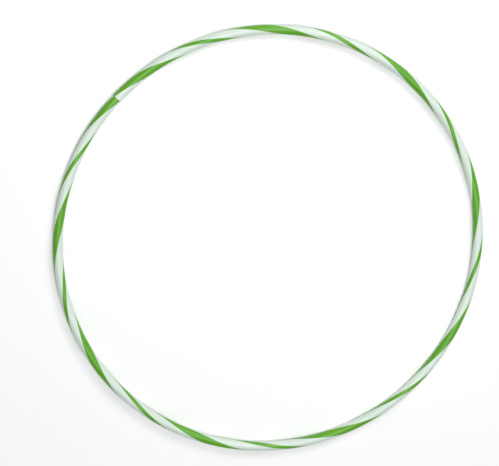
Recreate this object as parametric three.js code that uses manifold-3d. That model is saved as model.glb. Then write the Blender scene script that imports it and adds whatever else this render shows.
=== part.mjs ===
// A rhythmic gymnastics hoop: one plastic tube with two coloured strips in its skin, twisted,
// bent into a ring and closed by a barbed plug and two wire staples.
//
// Millimetres, +Z up. The hoop lies flat on z = 0 with its centre on the Z axis. A bearing is an
// angle round the hoop, clockwise from +Y as seen from above. A section angle goes round the tube:
// 0 points away from the hoop's centre, 90 up, 180 at the centre and 270 down.

import * as THREE from 'three';
import { mergeVertices } from 'three/addons/utils/BufferGeometryUtils.js';
import Module from 'manifold-3d';

// The ring and its tube
const HOOP_DIAMETER = 900;
const TUBE_DIAMETER = 20;
const TUBE_WALL = 2;

// The strips, run into the skin of the tube when it is extruded
const STRIPE_THICKNESS = 0.6;
const WIDE_STRIPE_ANGLE = 102;
const NARROW_STRIPE_ANGLE = 46;
const NARROW_FROM_WIDE = 185;
const STRIPE_TURNS = 9.25;
const WIDE_STRIPE_START = -2.5;

// The pitch of the strips is closer on one side of the hoop. This is how far they are ahead there,
// in degrees round the hoop, and how far from the seam that starts.
const PITCH_WANDER = 2.6;
const PITCH_WANDER_START = 15;

// The seam, where the two ends of the tube meet over the plug
const SEAM_BEARING = 314.2;
const SEAM_GAP = 0.3;

// The plug inside the seam
const PLUG_LENGTH = 70;
const PLUG_ROOT_DIAMETER = 13.4;
const PLUG_NOSE_DIAMETER = 10;
const PLUG_NOSE_LENGTH = 4;
const PLUG_LAND_LENGTH = 5;
const BARBS_PER_SIDE = 5;
const BARB_GROOVE = 1.8;
const BARB_SHOULDER = 0.3;

// The two staples, driven flush into the side of the tube that faces the centre
const STAPLE_WIRE = 1;
const STAPLE_CROWN = 10;
const STAPLE_LEG = 6;
const STAPLE_FROM_SEAM = 11;
const STAPLE_ANGLE = 180;

// Clearance between pieces
const FIT_GAP = 0.3;
const PLUG_GAP = 0.4;

// Fineness of the facets
const TUBE_SIDES = 12;
const WIRE_SIDES = 8;
const STAPLE_STEPS = 20;
const WELD_DISTANCE = 1e-4;

const TUBE_RADIUS = TUBE_DIAMETER / 2;
const BORE_RADIUS = TUBE_RADIUS - TUBE_WALL;
const CENTRE_LINE = HOOP_DIAMETER / 2 - TUBE_RADIUS;
const SIDE = 360 / TUBE_SIDES;
const DOWN = -90;
const STEPS = Math.round(STRIPE_TURNS * TUBE_SIDES);

const GREEN_PLASTIC = new THREE.MeshStandardMaterial({ color: 0x6db42f, roughness: 0.42, metalness: 0 });
const WHITE_PLASTIC = new THREE.MeshStandardMaterial({ color: 0xf1f3ee, roughness: 0.42, metalness: 0 });
const PLUG_PLASTIC = new THREE.MeshStandardMaterial({ color: 0xdcdcd4, roughness: 0.55, metalness: 0 });
const STEEL_WIRE = new THREE.MeshStandardMaterial({ color: 0xb8babd, roughness: 0.3, metalness: 1 });

const wasm = await Module();
wasm.setup();

function cos(degrees) {
  return Math.cos(THREE.MathUtils.degToRad(degrees));
}

function sin(degrees) {
  return Math.sin(THREE.MathUtils.degToRad(degrees));
}

// The angle that a length takes up on a circle of this radius.
function angleOf(length, radius) {
  return THREE.MathUtils.radToDeg(length / radius);
}

// ---- sections -------------------------------------------------------------------------------

// A point on a skin whose flat sides touch a circle of the given radius. One side lies straight
// down, so that the hoop rests on flat facets.
function onSkin(angle, radius) {
  const fromMiddleOfSide = THREE.MathUtils.euclideanModulo(angle - DOWN + SIDE / 2, SIDE) - SIDE / 2;
  const reach = radius / cos(fromMiddleOfSide);
  return new THREE.Vector2(reach * cos(angle), reach * sin(angle));
}

// The skin from one section angle to another, with both end points and every corner between them.
function skinBetween(start, end, radius) {
  const clearOfEnds = 1;
  const points = [onSkin(start, radius)];
  const firstCorner = Math.ceil((start + clearOfEnds - DOWN) / SIDE - 0.5);
  for (let corner = firstCorner; DOWN + (corner + 0.5) * SIDE < end - clearOfEnds; corner += 1) {
    points.push(onSkin(DOWN + (corner + 0.5) * SIDE, radius));
  }
  points.push(onSkin(end, radius));
  return points;
}

const WIDE_STRIPE = { centre: WIDE_STRIPE_START, angle: WIDE_STRIPE_ANGLE };
const NARROW_STRIPE = { centre: WIDE_STRIPE_START + NARROW_FROM_WIDE, angle: NARROW_STRIPE_ANGLE };

// The tube's outside, with a channel for each strip.
function tubeOutline() {
  const channelRadius = TUBE_RADIUS - STRIPE_THICKNESS - FIT_GAP;
  const wideStart = WIDE_STRIPE.centre - WIDE_STRIPE.angle / 2;
  const wideEnd = WIDE_STRIPE.centre + WIDE_STRIPE.angle / 2;
  const narrowStart = NARROW_STRIPE.centre - NARROW_STRIPE.angle / 2;
  const narrowEnd = NARROW_STRIPE.centre + NARROW_STRIPE.angle / 2;
  return new THREE.Shape([
    ...skinBetween(wideStart, wideEnd, channelRadius),
    ...skinBetween(wideEnd, narrowStart, TUBE_RADIUS),
    ...skinBetween(narrowStart, narrowEnd, channelRadius),
    ...skinBetween(narrowEnd, wideStart + 360, TUBE_RADIUS),
  ]);
}

// A strip fills its channel, short of the walls by the gap.
function stripeOutline(stripe) {
  const reach = stripe.angle / 2 - angleOf(FIT_GAP, TUBE_RADIUS);
  const outside = skinBetween(stripe.centre - reach, stripe.centre + reach, TUBE_RADIUS);
  const inside = skinBetween(stripe.centre - reach, stripe.centre + reach, TUBE_RADIUS - STRIPE_THICKNESS);
  return new THREE.Shape([...outside, ...inside.reverse()]);
}

function boreOutline() {
  return new THREE.Shape(skinBetween(DOWN, DOWN + 360, BORE_RADIUS).slice(1, -1));
}

// ---- from a straight bar to the ring ----------------------------------------------------------

// Bends a straight bar round the hoop. The bar's length runs along its z, with x away from the
// hoop's centre and y up; place(z) gives the bearing and the twist of the section there.
function bendRound(geometry, place) {
  const position = geometry.getAttribute('position');
  for (let i = 0; i < position.count; i += 1) {
    const { bearing, twist } = place(position.getZ(i));
    const out = position.getX(i) * cos(twist) - position.getY(i) * sin(twist);
    const up = position.getX(i) * sin(twist) + position.getY(i) * cos(twist);
    const fromCentre = CENTRE_LINE + out;
    position.setXYZ(i, fromCentre * sin(bearing), fromCentre * cos(bearing), TUBE_RADIUS + up);
  }
  geometry.computeVertexNormals();
  return geometry;
}

// ExtrudeGeometry splits every side quad a, b, c, d from b to d. A twisted bar keeps its size where
// each is split along its shorter diagonal, which runs with the bar.
function splitShortWay(geometry) {
  const position = geometry.getAttribute('position');
  const sides = geometry.groups.find((group) => group.materialIndex === 1);
  const corner = (i) => new THREE.Vector3().fromBufferAttribute(position, i);
  for (let quad = sides.start; quad < sides.start + sides.count; quad += 6) {
    const [a, b, c, d] = [corner(quad), corner(quad + 1), corner(quad + 4), corner(quad + 5)];
    if (a.distanceTo(c) < b.distanceTo(d)) {
      [a, b, c, a, c, d].forEach((point, i) => position.setXYZ(quad + i, point.x, point.y, point.z));
    }
  }
  return geometry;
}

// How far a section is moved back towards the start of the tube, at a share of the way round.
function pitchWander(share) {
  return PITCH_WANDER * (sin(360 * share - PITCH_WANDER_START) + sin(PITCH_WANDER_START));
}

// A section run from one end of the tube to the other and past both ends by overrun, turning by
// the same angle at each step. The steps are closer together where the pitch is.
function runRound(outline, turnPerStep, overrun) {
  const startAngle = angleOf(SEAM_GAP / 2 - overrun, CENTRE_LINE);
  const length = 360 - 2 * startAngle;
  const bar = new THREE.ExtrudeGeometry(outline, { depth: STEPS, steps: STEPS, bevelEnabled: false });
  return splitShortWay(bendRound(bar, (step) => ({
    bearing: SEAM_BEARING + startAngle + length * step / STEPS - pitchWander(step / STEPS),
    twist: turnPerStep * step,
  })));
}

// What is extruded with the strips turns by one side of the skin at each step. The corners of one
// section so meet the corners of the next, and the skin stays flat.
function twistedRun(outline) {
  return runRound(outline, SIDE, 0);
}

// The hollow of the tube runs into the seam's gap at both ends, so that they are open.
function boreRun() {
  return runRound(boreOutline(), 0, SEAM_GAP / 4);
}

// ---- the joint ----------------------------------------------------------------------------------

// Half of the plug's profile, from its middle to its nose: a plain land, then a row of barbs, each
// with a steep shoulder that faces the middle and a long slope towards the nose.
function plugHalfProfile() {
  const tip = BORE_RADIUS - PLUG_GAP;
  const root = PLUG_ROOT_DIAMETER / 2;
  const landEnd = PLUG_LAND_LENGTH / 2;
  const noseStart = PLUG_LENGTH / 2 - PLUG_NOSE_LENGTH;
  const barbPitch = (noseStart - landEnd - BARB_SHOULDER) / BARBS_PER_SIDE;
  const profile = [[tip, landEnd]];
  for (let barb = 0; barb < BARBS_PER_SIDE; barb += 1) {
    const grooveStart = landEnd + BARB_SHOULDER + barb * barbPitch;
    const grooveEnd = grooveStart + BARB_GROOVE;
    profile.push([root, grooveStart], [root, grooveEnd], [tip, grooveEnd + BARB_SHOULDER]);
  }
  profile.push([root, noseStart], [PLUG_NOSE_DIAMETER / 2, PLUG_LENGTH / 2], [0, PLUG_LENGTH / 2]);
  return profile.map(([radius, along]) => new THREE.Vector2(radius, along));
}

function plugGeometry() {
  const upper = plugHalfProfile();
  const lower = upper.map((point) => new THREE.Vector2(point.x, -point.y)).reverse();
  const firstCorner = THREE.MathUtils.degToRad(SIDE / 2);
  const bar = new THREE.LatheGeometry([...lower, ...upper], TUBE_SIDES, firstCorner);
  bar.rotateX(Math.PI / 2);
  return bendRound(bar, (along) => ({ bearing: SEAM_BEARING + angleOf(along, CENTRE_LINE), twist: 0 }));
}

// A wire staple, its crown flush with the skin of the tube and its legs towards the tube's centre.
// swell makes the wire thicker and longer all round, for the seat that it is driven into.
function stapleGeometry(fromSeam, swell) {
  const crown = TUBE_RADIUS - STAPLE_WIRE / 2;
  const legEnd = crown - STAPLE_LEG - swell;
  const leg = STAPLE_CROWN / 2;
  const bend = STAPLE_WIRE;
  const at = (depth, along) => new THREE.Vector3(depth, 0, along);
  const path = new THREE.CurvePath();
  path.add(new THREE.LineCurve3(at(legEnd, -leg), at(crown - bend, -leg)));
  path.add(new THREE.QuadraticBezierCurve3(at(crown - bend, -leg), at(crown, -leg), at(crown, bend - leg)));
  path.add(new THREE.LineCurve3(at(crown, bend - leg), at(crown, leg - bend)));
  path.add(new THREE.QuadraticBezierCurve3(at(crown, leg - bend), at(crown, leg), at(crown - bend, leg)));
  path.add(new THREE.LineCurve3(at(crown - bend, leg), at(legEnd, leg)));
  const section = new THREE.Shape().absarc(0, 0, STAPLE_WIRE / 2 + swell, 0, 2 * Math.PI);
  const wire = new THREE.ExtrudeGeometry(section, {
    curveSegments: WIRE_SIDES / 2,
    steps: STAPLE_STEPS,
    extrudePath: path,
    bevelEnabled: false,
  });
  return bendRound(wire, (along) => ({
    bearing: SEAM_BEARING + angleOf(fromSeam + along, CENTRE_LINE),
    twist: STAPLE_ANGLE,
  }));
}

// ---- solids -------------------------------------------------------------------------------------

function solid(geometry) {
  const bare = geometry.clone();
  bare.deleteAttribute('normal');
  bare.deleteAttribute('uv');
  const merged = mergeVertices(bare, WELD_DISTANCE);
  return new wasm.Manifold(new wasm.Mesh({
    numProp: 3,
    vertProperties: new Float32Array(merged.getAttribute('position').array),
    triVerts: new Uint32Array(merged.getIndex().array),
  }));
}

function cut(body, ...tools) {
  return tools.reduce((left, tool) => left.subtract(tool), body);
}

function part(name, body, material) {
  const { vertProperties, triVerts } = body.getMesh();
  const geometry = new THREE.BufferGeometry();
  geometry.setAttribute('position', new THREE.BufferAttribute(new Float32Array(vertProperties), 3));
  geometry.setIndex(new THREE.BufferAttribute(new Uint32Array(triVerts), 1));
  geometry.computeVertexNormals();
  const mesh = new THREE.Mesh(geometry, material);
  mesh.name = name;
  return mesh;
}

const stapleSeats = [
  solid(stapleGeometry(-STAPLE_FROM_SEAM, FIT_GAP)),
  solid(stapleGeometry(STAPLE_FROM_SEAM, FIT_GAP)),
];

function tube() {
  return part('tube', cut(solid(twistedRun(tubeOutline())), solid(boreRun()), ...stapleSeats), WHITE_PLASTIC);
}

function stripe(name, strip) {
  return part(name, cut(solid(twistedRun(stripeOutline(strip))), ...stapleSeats), GREEN_PLASTIC);
}

function jointPlug() {
  return part('joint_plug', cut(solid(plugGeometry()), ...stapleSeats), PLUG_PLASTIC);
}

function staple(name, fromSeam) {
  return part(name, solid(stapleGeometry(fromSeam, 0)), STEEL_WIRE);
}

const hoop = new THREE.Group();
hoop.add(tube());
hoop.add(stripe('wide_stripe', WIDE_STRIPE));
hoop.add(stripe('narrow_stripe', NARROW_STRIPE));
hoop.add(jointPlug());
hoop.add(staple('staple_before_seam', -STAPLE_FROM_SEAM));
hoop.add(staple('staple_after_seam', STAPLE_FROM_SEAM));

export default hoop;
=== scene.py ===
"""A rhythmic gymnastics hoop of striped plastic tube, lying on a pale floor.

The white tube, its two green stripes, the plug inside the seam and the two staples are built round
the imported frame. Metres, +Z up. A bearing is an angle round the hoop, clockwise from +Y as seen
from above. A section angle goes round the tube: 0 points away from the hoop's centre, 90 up, 180 at
the centre and 270 down. "Along" is a length round the hoop from the seam, on the tube's centre
line.
"""

import math
from collections import namedtuple

import bpy
import numpy as np
from mathutils import Matrix, Vector


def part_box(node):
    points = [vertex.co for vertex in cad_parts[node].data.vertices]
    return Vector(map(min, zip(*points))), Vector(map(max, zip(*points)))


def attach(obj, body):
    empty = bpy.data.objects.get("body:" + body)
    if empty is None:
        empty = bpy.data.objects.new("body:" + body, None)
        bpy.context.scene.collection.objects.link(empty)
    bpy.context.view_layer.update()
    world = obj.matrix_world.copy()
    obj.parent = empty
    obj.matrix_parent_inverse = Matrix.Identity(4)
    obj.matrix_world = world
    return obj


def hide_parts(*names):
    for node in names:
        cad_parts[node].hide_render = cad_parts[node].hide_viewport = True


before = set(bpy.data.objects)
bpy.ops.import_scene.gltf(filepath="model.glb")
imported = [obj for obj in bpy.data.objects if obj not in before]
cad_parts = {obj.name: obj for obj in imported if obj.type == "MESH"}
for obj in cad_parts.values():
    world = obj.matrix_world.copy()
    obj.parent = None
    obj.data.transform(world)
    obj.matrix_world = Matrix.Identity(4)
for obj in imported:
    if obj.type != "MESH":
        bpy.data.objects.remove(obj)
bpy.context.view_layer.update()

MM = 0.001
TURN = 2 * math.pi

# ---- the hoop's own sizes, from the frame ------------------------------------------------------

TUBE_LOW, TUBE_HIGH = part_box("tube")
TUBE_SIZE = TUBE_HIGH - TUBE_LOW
TUBE_RADIUS = TUBE_SIZE.z / 2
HOOP_RADIUS = max(TUBE_SIZE.x, TUBE_SIZE.y) / 2
CENTRE_LINE = HOOP_RADIUS - TUBE_RADIUS
TUBE_LENGTH = TURN * CENTRE_LINE

# The seam is midway between the two staples.
STAPLES = ("staple_before_seam", "staple_after_seam")
STAPLE_PLACES = [(low + high) / 2 for low, high in map(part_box, STAPLES)]
SEAM_WAY = STAPLE_PLACES[0] + STAPLE_PLACES[1]
SEAM_BEARING = math.atan2(SEAM_WAY.x, SEAM_WAY.y)

# ---- sizes that the frame doesn't give ---------------------------------------------------------

WALL = 2 * MM
STRIPE_DEPTH = 0.6 * MM
SEAM_GAP = 0.2 * MM
CUT_EDGE_ROUND = 0.3 * MM

# Section angles at the start of the tube.
Stripe = namedtuple("Stripe", "start end")
WIDE_CENTRE = -2.5
WIDE_ANGLE = 102
NARROW_CENTRE = WIDE_CENTRE + 185
NARROW_ANGLE = 46
WIDE = Stripe(math.radians(WIDE_CENTRE - WIDE_ANGLE / 2), math.radians(WIDE_CENTRE + WIDE_ANGLE / 2))
NARROW = Stripe(
    math.radians(NARROW_CENTRE - NARROW_ANGLE / 2),
    math.radians(NARROW_CENTRE + NARROW_ANGLE / 2),
)
STRIPE_TURNS = 9.25
PITCH_WANDER = math.radians(24)
PITCH_WANDER_START = math.radians(15)
PITCH_RIPPLE = math.radians(0.7)
# The waves of the ripple: how many go round the hoop, how far on they start, and their strength.
Wave = namedtuple("Wave", "count ahead strength")
RIPPLE_WAVES = (Wave(5, 0.2, 1), Wave(13, 0.65, 0.7))

# Where two colours meet, the skin sinks a little from both sides into a fine line.
MEETING_SINK = 0.05 * MM
MEETING_WIDTH = 0.4 * MM
# How far the sides of a channel, and of the stripe in it, lean inwards down to its floor.
CHANNEL_LEAN = math.radians(0.7)
STRIPE_LEAN = 1.5 * CHANNEL_LEAN
CHANNEL_PLAY = 0.02 * MM

PLUG_LENGTH = 70 * MM
PLUG_TIP = 7.6 * MM
PLUG_ROOT = 6.7 * MM
PLUG_NOSE = 5 * MM
PLUG_NOSE_LENGTH = 4 * MM
PLUG_LAND = 5 * MM
BARBS = 5
BARB_SHOULDER = 0.3 * MM
BARB_GROOVE = 1.8 * MM
BARB_TIP_ROUND = 0.12 * MM

STAPLE_WIRE = 1 * MM
STAPLE_CROWN = 10 * MM
STAPLE_LEG = 6 * MM
STAPLE_BEND = 1 * MM
STAPLE_POINT = 0.7 * MM
STAPLE_POINT_SHARE = 0.45
STAPLE_PROUD = 0.12 * MM
STAPLE_SEAT_PLAY = 0.08 * MM
STAPLE_SEAT_DEEPER = 0.3 * MM

# Fineness of the meshes. The rings of the tube's mesh are closer together near the seam.
SKIN_STEP = math.radians(7.2)
RING_STEP = 4.6 * MM
SEAM_RING_STEP = 1 * MM
SEAM_ZONE = 18 * MM
CUT_EDGE_RINGS = 5
PLUG_SIDES = 48
WIRE_SIDES = 16
BEND_RINGS = 7
CROWN_RINGS = 9
CREASE = math.radians(35)

# The map that finishes are baked on: rows of faces, with the hidden ones pressed thin.
HIDDEN_SHARE = 0.1
ROW_MARGIN = 0.6 * MM
END_CELL = 1.4 * MM

# ---- marks on the drawn plastic ----------------------------------------------------------------

DIE_LINE_HEIGHT = 0.012 * MM
RIPPLE_HEIGHT = 0.05 * MM
PEEL_HEIGHT = 0.006 * MM
SCRATCH_DEPTH = 0.01 * MM
SCUFF_DEPTH = 0.008 * MM
SCUFFED_RIM = 3 * MM

# Scratches lie in patches, this much shorter and wider than the lines are drawn out. A patch
# starts and is full at these values of its noise.
PATCH_SHORTER = 0.6
PATCH_WIDER = 3
PATCH_START = 0.56
PATCH_FULL = 0.66

# ---- camera, floor and light -------------------------------------------------------------------

LENS = 100
SENSOR = 36
VIEW_LEAN = math.radians(14.5)
VIEW_LEAN_BEARING = math.radians(324.5)
VIEW_WIDTH = 1.0317
HOOP_RIGHT_OF_MIDDLE = 0.0477
HOOP_BELOW_MIDDLE = 0.0229
FARTHEST_SEEN = 100

FLOOR_SIDE = 40
FLOOR_GREY = 0.9
FLOOR_ROUGHNESS = 0.95
FLOOR_SHEEN = 0.1
ROOM_COLOUR = (0.97, 0.985, 1, 1)
ROOM_STRENGTH = 0.3
Softbox = namedtuple("Softbox", "name place aim side power")
SOFTBOXES = (
    Softbox("light_above", (0, 0.1, 3.4), (0, 0, 0), 1.8, 76),
    Softbox("light_key", (1.2, 2.1, 2.1), (-0.1, -0.2, 0), 1.3, 42),
)


def place_camera():
    """Almost straight above the hoop, with +Y up the picture."""
    back = Vector((
        math.sin(VIEW_LEAN) * math.sin(VIEW_LEAN_BEARING),
        math.sin(VIEW_LEAN) * math.cos(VIEW_LEAN_BEARING),
        math.cos(VIEW_LEAN),
    ))
    up = (Vector((0, 1, 0)) - back * back.y).normalized()
    right = up.cross(back)
    camera = bpy.data.objects.new("camera", bpy.data.cameras.new("camera"))
    bpy.context.scene.collection.objects.link(camera)
    camera.data.lens = LENS
    camera.data.sensor_width = SENSOR
    camera.data.clip_end = FARTHEST_SEEN
    middle = Vector((0, 0, TUBE_RADIUS)) - right * HOOP_RIGHT_OF_MIDDLE + up * HOOP_BELOW_MIDDLE
    place = middle + back * (VIEW_WIDTH * LENS / SENSOR)
    turned = Matrix((right, up, back)).transposed().to_4x4()
    camera.matrix_world = Matrix.Translation(place) @ turned
    bpy.context.scene.camera = camera


def add_softbox(softbox):
    """A square soft light that looks at its aim."""
    lamp = bpy.data.lights.new(softbox.name, "AREA")
    lamp.size = softbox.side
    lamp.energy = softbox.power
    light = bpy.data.objects.new(softbox.name, lamp)
    light.location = softbox.place
    light.rotation_mode = "QUATERNION"
    light.rotation_quaternion = (Vector(softbox.place) - Vector(softbox.aim)).to_track_quat("Z", "Y")
    light.visible_camera = False
    bpy.context.scene.collection.objects.link(light)


def add_room():
    """A faint even light from all round."""
    world = bpy.data.worlds.new("room")
    world.use_nodes = True
    room = world.node_tree.nodes["Background"]
    room.inputs["Color"].default_value = ROOM_COLOUR
    room.inputs["Strength"].default_value = ROOM_STRENGTH
    bpy.context.scene.world = world


def add_floor():
    """A plain pale floor, square and much larger than the view."""
    edge = FLOOR_SIDE / 2
    corners = [(-edge, -edge, 0), (edge, -edge, 0), (edge, edge, 0), (-edge, edge, 0)]
    mesh = bpy.data.meshes.new("floor")
    mesh.from_pydata(corners, [], [(0, 1, 2, 3)])
    floor = bpy.data.objects.new("floor", mesh)
    bpy.context.scene.collection.objects.link(floor)
    paint = bpy.data.materials.new("floor_paint")
    paint.use_nodes = True
    shader = paint.node_tree.nodes["Principled BSDF"]
    shader.inputs["Base Color"].default_value = (FLOOR_GREY, FLOOR_GREY, FLOOR_GREY, 1)
    shader.inputs["Roughness"].default_value = FLOOR_ROUGHNESS
    shader.inputs["Specular IOR Level"].default_value = FLOOR_SHEEN
    mesh.materials.append(paint)


place_camera()
bpy.context.scene.view_settings.view_transform = "Standard"
add_room()
add_floor()
for box_light in SOFTBOXES:
    add_softbox(box_light)


# ---- round the hoop ----------------------------------------------------------------------------


def on_hoop(along, out, up):
    """Points in the frame from arrays of the length along the tube and the place in its section,
    out from the hoop's centre and up."""
    along, out, up = np.broadcast_arrays(along, out, up)
    bearing = SEAM_BEARING + along / CENTRE_LINE
    from_centre = CENTRE_LINE + out
    return np.stack([from_centre * np.sin(bearing), from_centre * np.cos(bearing), TUBE_RADIUS + up], -1)


def twist(along):
    """How far the stripes have turned round the tube. Their pitch is closer on one side of the
    hoop, and it ripples a little everywhere, as it does when a hot tube is twisted."""
    share = along / TUBE_LENGTH
    ahead = np.sin(TURN * share - PITCH_WANDER_START) + math.sin(PITCH_WANDER_START)
    waves = [wave.strength * np.sin(TURN * (wave.count * share + wave.ahead)) for wave in RIPPLE_WAVES]
    ripple = sum(waves) * np.sqrt(np.sin(math.pi * share))
    return TURN * STRIPE_TURNS * share + PITCH_WANDER * ahead + PITCH_RIPPLE * ripple


def ring_places():
    """Where the rings of the tube's mesh are along it, and how deep the rounding of the cut edges
    lies below the skin there."""
    start = SEAM_GAP / 2
    rounding = CUT_EDGE_ROUND * (1 - np.cos(np.linspace(0, TURN / 4, CUT_EDGE_RINGS)))
    near_seam = np.arange(CUT_EDGE_ROUND + SEAM_RING_STEP / 2, SEAM_ZONE, SEAM_RING_STEP)
    end = start + np.concatenate([rounding, near_seam])
    middle_count = round((TUBE_LENGTH - 2 * SEAM_ZONE) / RING_STEP)
    middle = np.linspace(SEAM_ZONE, TUBE_LENGTH - SEAM_ZONE, middle_count)
    along = np.concatenate([end, middle, TUBE_LENGTH - end[::-1]])
    from_cut = np.minimum(along, TUBE_LENGTH - along) - start
    short = np.clip(1 - from_cut / CUT_EDGE_ROUND, 0, 1)
    return along, CUT_EDGE_ROUND * (1 - np.sqrt(1 - short ** 2))


# ---- meshes through rings of points --------------------------------------------------------------


def mesh_of(name, points, faces, maps):
    """A smooth mesh with sharp creases. Each map holds a row for each corner of each face."""
    mesh = bpy.data.meshes.new(name)
    mesh.from_pydata(points.reshape(-1, 3).tolist(), [], faces)
    for map_name, corners in maps.items():
        mesh.uv_layers.new(name=map_name).data.foreach_set("uv", corners.ravel())
    mesh.shade_smooth()
    mesh.set_sharp_from_angle(angle=CREASE)
    return mesh


def side_faces(ring_count, here, after):
    """Quads between each ring of points and the next, from every point here to the one after it."""
    ring = np.arange(ring_count - 1)[:, None] * len(here)
    following = ring + len(here)
    return np.stack([ring + here, ring + after, following + after, following + here], -1).reshape(-1, 4)


def side_map(u_here, u_next, v_here, v_after):
    """The map of side_faces: u goes from ring to ring, and v from point to point."""
    corners = np.broadcast_arrays(u_here, v_here, u_here, v_after, u_next, v_after, u_next, v_here)
    return np.stack(corners, -1).reshape(-1, 4, 2)


def bar_mesh(name, rings, girth):
    """A closed bar through round rings of points, with a flat face at both ends. The map "Skin"
    holds metres along the bar and round it."""
    count, sides = rings.shape[:2]
    here = np.arange(sides)
    last = (count - 1) * sides
    faces = side_faces(count, here, (here + 1) % sides).tolist()
    faces += [here[::-1].tolist(), (here + last).tolist()]
    steps = np.linalg.norm(np.diff(rings.mean(axis=1), axis=0), axis=1)
    run = np.cumsum([0, *steps])
    around = np.arange(sides + 1) * girth / sides
    sides_skin = side_map(run[:-1, None], run[1:, None], around[:-1], around[1:])
    ends_skin = [np.stack(np.broadcast_arrays(run[end], around[:-1]), -1) for end in (0, -1)]
    skin_map = np.concatenate([sides_skin.reshape(-1, 2), *ends_skin])
    return mesh_of(name, rings, faces, {"Skin": skin_map})


# ---- a section run round the hoop ---------------------------------------------------------------


def arc(start, end, radius):
    """Section points (angle, radius) at even steps, both ends included."""
    count = max(1, round((end - start) / SKIN_STEP))
    return [(start + (end - start) * i / count, radius) for i in range(count + 1)]


def skin(start, end):
    """The skin between two places where colours meet."""
    edge = MEETING_WIDTH / TUBE_RADIUS
    low = TUBE_RADIUS - MEETING_SINK
    return [(start, low), *arc(start + edge, end - edge, TUBE_RADIUS), (end, low)]


def is_skin(radius):
    return radius > TUBE_RADIUS - 2 * MEETING_SINK


def end_cells(count, low):
    """Map corners for the faces that close an end of the tube, as a row of cells."""
    left = np.arange(count) * END_CELL
    right = left + END_CELL
    high = low + WALL
    corners = np.broadcast_arrays(left, low, right, low, right, high, left, high)
    return np.stack(corners, -1).reshape(-1, 4, 2)


def bake_map(along, width, end_count):
    """The map that finishes are baked on, for the faces of run_round in their order. The faces
    between the rings lie in rows that fill a square, as high as their width in the section, and
    the faces of the two ends lie in two rows above them."""
    across = np.cumsum(width)
    row_height = across[-1] + ROW_MARGIN
    rows = round(math.sqrt(TUBE_LENGTH / row_height))
    rings_per_row = math.ceil((len(along) - 1) / rows)
    row = (np.arange(len(along) - 1) // rings_per_row)[:, None]
    row_start = along[row * rings_per_row]
    low = row * row_height
    sides = side_map(
        along[:-1, None] - row_start,
        along[1:, None] - row_start,
        low + across - width,
        low + across,
    )
    top = rows * row_height
    near = end_cells(end_count, top)[:, ::-1]
    far = end_cells(end_count, top + WALL + ROW_MARGIN)
    corners = np.concatenate([sides, near, far])
    return (corners + ROW_MARGIN) / (corners.max() + 2 * ROW_MARGIN)


def run_round(name, loops, near, far):
    """A closed mesh from closed loops of section points (angle, radius), which turn with the
    stripes. Its two ends are closed between the section points near and far. The map "Skin" holds
    metres along the tube and round it."""
    along, sunk = ring_places()
    angle, radius = np.array([point for loop in loops for point in loop]).T
    here = np.arange(len(angle))
    starts = np.cumsum([len(loop) for loop in loops])[:-1]
    after = np.concatenate([np.roll(loop, -1) for loop in np.split(here, starts)])

    turned = angle + twist(along)[:, None]
    reach = radius - np.where(is_skin(radius), sunk[:, None], 0)
    points = on_hoop(along[:, None], reach * np.cos(turned), reach * np.sin(turned))
    end = np.stack([near[:-1], near[1:], far[1:], far[:-1]], -1)
    last = (len(along) - 1) * len(angle)
    faces = np.concatenate([side_faces(len(along), here, after), end[:, ::-1], end + last])

    full_turns = TURN * np.round((angle - angle[after]) / TURN)
    around_here = angle * TUBE_RADIUS
    around_after = (angle[after] + full_turns) * TUBE_RADIUS
    sides_skin = side_map(along[:-1, None], along[1:, None], around_here, around_after)
    end_skin = np.stack([TUBE_RADIUS - radius[end], around_here[end]], -1)

    seen = is_skin(radius) & is_skin(radius[after])
    width = np.hypot(around_after - around_here, radius[after] - radius)
    maps = {
        "OFBake": bake_map(along, np.where(seen, width, width * HIDDEN_SHARE), len(end)),
        "Skin": np.concatenate([sides_skin, end_skin[:, ::-1], end_skin]),
    }
    return mesh_of(name, points, faces.tolist(), maps)


def tube_mesh():
    """The white tube, with a channel for each stripe in its skin and its bore open at both ends."""
    channel = TUBE_RADIUS - STRIPE_DEPTH - CHANNEL_PLAY
    outline = [
        *arc(WIDE.start + CHANNEL_LEAN, WIDE.end - CHANNEL_LEAN, channel),
        *skin(WIDE.end, NARROW.start),
        *arc(NARROW.start + CHANNEL_LEAN, NARROW.end - CHANNEL_LEAN, channel),
        *skin(NARROW.end, WIDE.start + TURN),
    ]
    bore = [(angle, TUBE_RADIUS - WALL) for angle, _ in reversed(outline)]
    count = len(outline)
    near = np.arange(count + 1) % count
    return run_round("tube", [outline, bore], near, 2 * count - 1 - near)


def stripe_mesh(name, stripe):
    """A stripe fills its channel, flush with the skin beside it."""
    top = skin(stripe.start, stripe.end)
    middle = (stripe.start + stripe.end) / 2
    narrower = 1 - 2 * STRIPE_LEAN / (stripe.end - stripe.start)
    underside = [(middle + (angle - middle) * narrower, TUBE_RADIUS - STRIPE_DEPTH) for angle, _ in top]
    near = np.arange(len(top))
    return run_round(name, [[*top, *reversed(underside)]], near, 2 * len(top) - 1 - near)


# ---- the joint ----------------------------------------------------------------------------------


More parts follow.
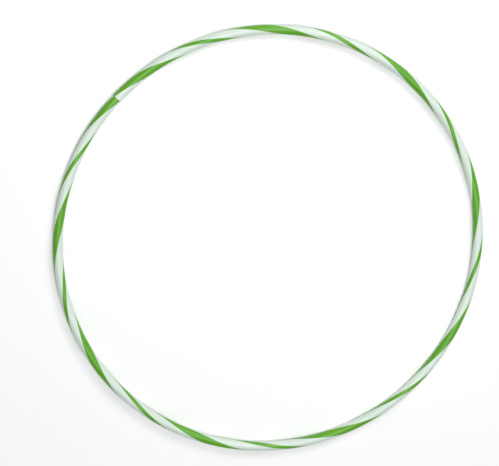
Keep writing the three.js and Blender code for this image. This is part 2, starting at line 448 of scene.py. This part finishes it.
def plug_profile():
    """Points (radius, along) of a plain land in the middle, a row of barbs on both sides of it, and
    a chamfered nose at each end. A barb has a steep shoulder that faces the middle and a long slope
    towards the nose."""
    nose_start = PLUG_LENGTH / 2 - PLUG_NOSE_LENGTH
    pitch = (nose_start - PLUG_LAND / 2 - BARB_SHOULDER) / BARBS
    inside_tip = PLUG_TIP - BARB_TIP_ROUND
    half = [(PLUG_TIP, PLUG_LAND / 2), (inside_tip, PLUG_LAND / 2 + BARB_TIP_ROUND)]
    for barb in range(BARBS):
        start = PLUG_LAND / 2 + BARB_SHOULDER + barb * pitch
        tip = start + BARB_GROOVE + BARB_SHOULDER
        half += [(PLUG_ROOT, start), (PLUG_ROOT, start + BARB_GROOVE)]
        half += [(inside_tip, tip), (PLUG_TIP, tip + BARB_TIP_ROUND)]
    half += [(PLUG_ROOT, nose_start), (PLUG_NOSE + BARB_TIP_ROUND, PLUG_LENGTH / 2 - BARB_TIP_ROUND)]
    half += [(PLUG_NOSE, PLUG_LENGTH / 2)]
    return [(radius, -along) for radius, along in reversed(half)] + half


def plug_mesh():
    """The plug's profile turned about the tube's centre line, across the seam."""
    radius, along = np.array(plug_profile()).T[:, :, None]
    angle = np.arange(PLUG_SIDES) * TURN / PLUG_SIDES
    rings = on_hoop(along, radius * np.cos(angle), radius * np.sin(angle))
    return bar_mesh("joint_plug", rings, TURN * PLUG_TIP)


def staple_path(leg):
    """The middle of a staple's wire as (depth, along), from one point over the crown to the other.
    The depth is from the tube's centre line towards the hoop's centre."""
    crown = TUBE_RADIUS + STAPLE_PROUD - STAPLE_WIRE / 2
    half = STAPLE_CROWN / 2
    bend = crown - STAPLE_BEND
    turns = np.linspace(0, TURN / 4, BEND_RINGS)
    flat = half - STAPLE_BEND
    corner = [(bend + STAPLE_BEND * math.sin(t), flat + STAPLE_BEND * math.cos(t)) for t in turns]
    side = [(crown - leg, half), (crown - leg + STAPLE_POINT, half), *corner]
    crown_points = [(crown, along) for along in np.linspace(flat, -flat, CROWN_RINGS)[1:-1]]
    return np.array(side + crown_points + [(depth, -along) for depth, along in reversed(side)])


def staple_mesh(name, place, leg, swell, point_share):
    """A round wire on the staple's path, pushed straight in through the side of the tube that
    faces the hoop's centre. swell makes the wire thicker, and the points of its legs are
    point_share as thick as the wire."""
    path = staple_path(leg)
    way = np.gradient(path, axis=0)
    way /= np.linalg.norm(way, axis=1, keepdims=True)
    reach = np.full((len(path), 1), STAPLE_WIRE / 2 + swell)
    reach[[0, -1]] *= point_share
    turn = np.arange(WIRE_SIDES) * TURN / WIRE_SIDES
    sideways = reach * np.cos(turn)
    depth = path[:, :1] + way[:, 1:] * sideways
    along = path[:, 1:] - way[:, :1] * sideways
    return bar_mesh(name, on_hoop(place + along, -depth, -reach * np.sin(turn)), math.pi * STAPLE_WIRE)


# ---- finishes ------------------------------------------------------------------------------------


def colour(red, green, blue):
    """A colour given as display values from 0 to 255, as the shaders' linear values."""
    def linear(value):
        share = value / 255
        return share / 12.92 if share <= 0.04045 else ((share + 0.055) / 1.055) ** 2.4
    return (linear(red), linear(green), linear(blue), 1)


class Signal:
    """One output in a material, with maths written as Python expressions."""

    def __init__(self, finish, socket):
        self.finish = finish
        self.socket = socket

    def maths(self, operation, *values):
        return self.finish.node("ShaderNodeMath", {"operation": operation}, dict(enumerate(values)))

    def __add__(self, other):
        return self.maths("ADD", self, other)

    def __sub__(self, other):
        return self.maths("SUBTRACT", self, other)

    def __rsub__(self, other):
        return self.maths("SUBTRACT", other, self)

    def __mul__(self, other):
        return self.maths("MULTIPLY", self, other)

    def __abs__(self):
        return self.maths("ABSOLUTE", self)

    __radd__ = __add__

    def held(self, low, high):
        """0 at low and below, 1 at high and above, and smooth between them."""
        settings = {"interpolation_type": "SMOOTHSTEP"}
        sockets = {"Value": self, "From Min": low, "From Max": high}
        return self.finish.node("ShaderNodeMapRange", settings, sockets)


class Finish:
    """A material with a principled shader and the nodes that feed it."""

    def __init__(self, name):
        self.material = bpy.data.materials.new(name)
        self.material.use_nodes = True
        self.tree = self.material.node_tree
        self.shader = self.tree.nodes["Principled BSDF"]

    def node(self, kind, settings, sockets, output=0):
        """Adds a node, sets it up, then fills its sockets with values or signals."""
        node = self.tree.nodes.new(kind)
        for name, value in settings.items():
            setattr(node, name, value)
        self.fill(node, sockets)
        return Signal(self, node.outputs[output])

    def fill(self, node, sockets):
        for name, value in sockets.items():
            if isinstance(value, Signal):
                self.tree.links.new(value.socket, node.inputs[name])
            else:
                node.inputs[name].default_value = value

    def skin(self, along, around):
        """The place on the skin, with the pattern that reads it drawn out to these lengths."""
        place = self.node("ShaderNodeUVMap", {"uv_map": "Skin"}, {})
        scale = (1 / along, 1 / around, 1)
        return self.node("ShaderNodeVectorMath", {"operation": "MULTIPLY"}, {0: place, 1: scale})

    def place(self):
        """The place in space, in metres."""
        return self.node("ShaderNodeTexCoord", {}, {}, "Object")

    def place_in(self, length):
        """The place in space, in units of this length."""
        sockets = {0: self.place(), "Scale": 1 / length}
        return self.node("ShaderNodeVectorMath", {"operation": "SCALE"}, sockets)

    def from_axis(self):
        """The distance from the hoop's axis."""
        sockets = {0: self.place(), 1: (1, 1, 0)}
        flat = self.node("ShaderNodeVectorMath", {"operation": "MULTIPLY"}, sockets)
        return self.node("ShaderNodeVectorMath", {"operation": "LENGTH"}, {0: flat}, "Value")

    def noise(self, vector, detail=2.0, roughness=0.5):
        sockets = {"Vector": vector, "Scale": 1.0, "Detail": detail, "Roughness": roughness}
        return self.node("ShaderNodeTexNoise", {}, sockets)

    def scratches(self, along, around, width):
        """Fine broken lines, where a drawn-out noise passes through its middle value."""
        lines = 1 - abs(self.noise(self.skin(along, around), 1.0) - 0.5).held(0, width)
        patches = self.noise(self.skin(along * PATCH_SHORTER, around * PATCH_WIDER), 0.0)
        return lines * patches.held(PATCH_START, PATCH_FULL)

    def mix(self, factor, first, second):
        """A colour between two colours. The sockets are the mix node's factor and its two colours."""
        return self.node("ShaderNodeMix", {"data_type": "RGBA"}, {0: factor, 6: first, 7: second}, 2)

    def bump(self, height):
        """Normals from a height in metres."""
        return self.node("ShaderNodeBump", {}, {"Strength": 1.0, "Distance": 1.0, "Height": height})

    def shade(self, **sockets):
        self.fill(self.shader, {name.replace("_", " "): value for name, value in sockets.items()})


def drawn_plastic(name, base, deeper, worn):
    """Satin polyethylene, with the fine lines of the die along the stripes, the faint ripple of
    a cooled tube, and light scratches and scuffs from the floor."""
    finish = Finish(name)
    die_lines = finish.noise(finish.skin(160 * MM, 1.1 * MM), 3.0, 0.6)
    broad_lines = finish.noise(finish.skin(400 * MM, 5 * MM), 1.0)
    ripple = finish.noise(finish.skin(34 * MM, 16 * MM), 1.0)
    peel = finish.noise(finish.place_in(2.6 * MM), 2.0)
    cloud = finish.noise(finish.place_in(60 * MM), 2.0)
    scratches = finish.scratches(70 * MM, 2.5 * MM, 0.012) + finish.scratches(2 * MM, 40 * MM, 0.01)
    rim = finish.from_axis().held(HOOP_RADIUS - SCUFFED_RIM, HOOP_RADIUS)
    scuffs = rim * finish.noise(finish.place_in(5 * MM), 4.0, 0.65).held(0.48, 0.62)
    tint = cloud.held(0.3, 0.7) * 0.6 + broad_lines.held(0.4, 0.6) * 0.25
    marks = scuffs * 0.35 + scratches * 0.3
    finish.shade(
        Base_Color=finish.mix(marks, finish.mix(tint, base, deeper), worn),
        Roughness=0.33 + die_lines * 0.1 + cloud * 0.06 + marks * 0.4,
        Normal=finish.bump(
            die_lines * DIE_LINE_HEIGHT
            + ripple * RIPPLE_HEIGHT
            + peel * PEEL_HEIGHT
            - scratches * SCRATCH_DEPTH
            - scuffs * SCUFF_DEPTH
        ),
        IOR=1.51,
        Subsurface_Weight=0.08,
        Subsurface_Radius=(1, 1, 1),
        Subsurface_Scale=1.5 * MM,
    )
    return finish.material


def moulded_plastic(name):
    """The plug's plain moulded plastic, fine grained, with faint flow marks along it."""
    finish = Finish(name)
    grain = finish.noise(finish.place_in(0.5 * MM), 3.0, 0.6)
    flow = finish.noise(finish.skin(30 * MM, 3 * MM), 2.0)
    finish.shade(
        Base_Color=finish.mix(flow.held(0.35, 0.65) * 0.5, colour(214, 214, 206), colour(196, 197, 190)),
        Roughness=0.5 + grain * 0.15,
        Normal=finish.bump(grain * (0.01 * MM) + flow * (0.02 * MM)),
        IOR=1.49,
    )
    return finish.material


def drawn_wire(name):
    """Zinc-coated steel wire, with drawing lines along it and a faint bloom."""
    finish = Finish(name)
    lines = finish.noise(finish.skin(5 * MM, 0.06 * MM), 3.0, 0.65)
    bloom = finish.noise(finish.place_in(0.9 * MM), 3.0, 0.6)
    finish.shade(
        Base_Color=finish.mix(bloom.held(0.4, 0.7), colour(205, 207, 210), colour(168, 170, 172)),
        Metallic=1.0,
        Roughness=0.2 + lines * 0.14 + bloom.held(0.45, 0.7) * 0.2,
        Normal=finish.bump(lines * (0.004 * MM) + bloom * (0.004 * MM)),
    )
    return finish.material


WHITE = drawn_plastic(
    "white_polyethylene",
    base=colour(209, 221, 211),
    deeper=colour(200, 214, 203),
    worn=colour(179, 186, 179),
)
GREEN = drawn_plastic(
    "green_polyethylene",
    base=colour(90, 160, 16),
    deeper=colour(80, 150, 12),
    worn=colour(116, 162, 70),
)
PLUG_FINISH = moulded_plastic("moulded_plug")
WIRE_FINISH = drawn_wire("zinc_coated_wire")


# ---- the pieces ----------------------------------------------------------------------------------


def add_object(mesh):
    piece = bpy.data.objects.new(mesh.name, mesh)
    bpy.context.scene.collection.objects.link(piece)
    return piece


def new_piece(node, mesh, finish):
    """An object that rides with the frame and stands for a CAD node."""
    piece = add_object(mesh)
    piece.name = "hoop_" + node
    mesh.materials.append(finish)
    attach(piece, "root")
    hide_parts(node)
    return piece


def cut_out(piece, cutters):
    """Cuts the shapes of the cutters out of a piece."""
    for cutter in cutters:
        cut = piece.modifiers.new("cut", "BOOLEAN")
        cut.operation = "DIFFERENCE"
        cut.solver = "MANIFOLD"
        cut.object = cutter
    graph = bpy.context.evaluated_depsgraph_get()
    piece.data = bpy.data.meshes.new_from_object(piece.evaluated_get(graph))
    piece.modifiers.clear()
    piece.data.set_sharp_from_angle(angle=CREASE)


round_staples = [
    new_piece("tube", tube_mesh(), WHITE),
    new_piece("wide_stripe", stripe_mesh("wide_stripe", WIDE), GREEN),
    new_piece("narrow_stripe", stripe_mesh("narrow_stripe", NARROW), GREEN),
    new_piece("joint_plug", plug_mesh(), PLUG_FINISH),
]
seats = []
for node, place in zip(STAPLES, STAPLE_PLACES):
    from_seam = math.remainder(math.atan2(place.x, place.y) - SEAM_BEARING, TURN) * CENTRE_LINE
    staple = staple_mesh(node, from_seam, STAPLE_LEG, 0, STAPLE_POINT_SHARE)
    new_piece(node, staple, WIRE_FINISH)
    seat_leg = STAPLE_LEG + STAPLE_SEAT_DEEPER
    seats.append(add_object(staple_mesh("seat", from_seam, seat_leg, STAPLE_SEAT_PLAY, 1)))
for piece in round_staples:
    cut_out(piece, seats)
for seat in seats:
    bpy.data.objects.remove(seat)
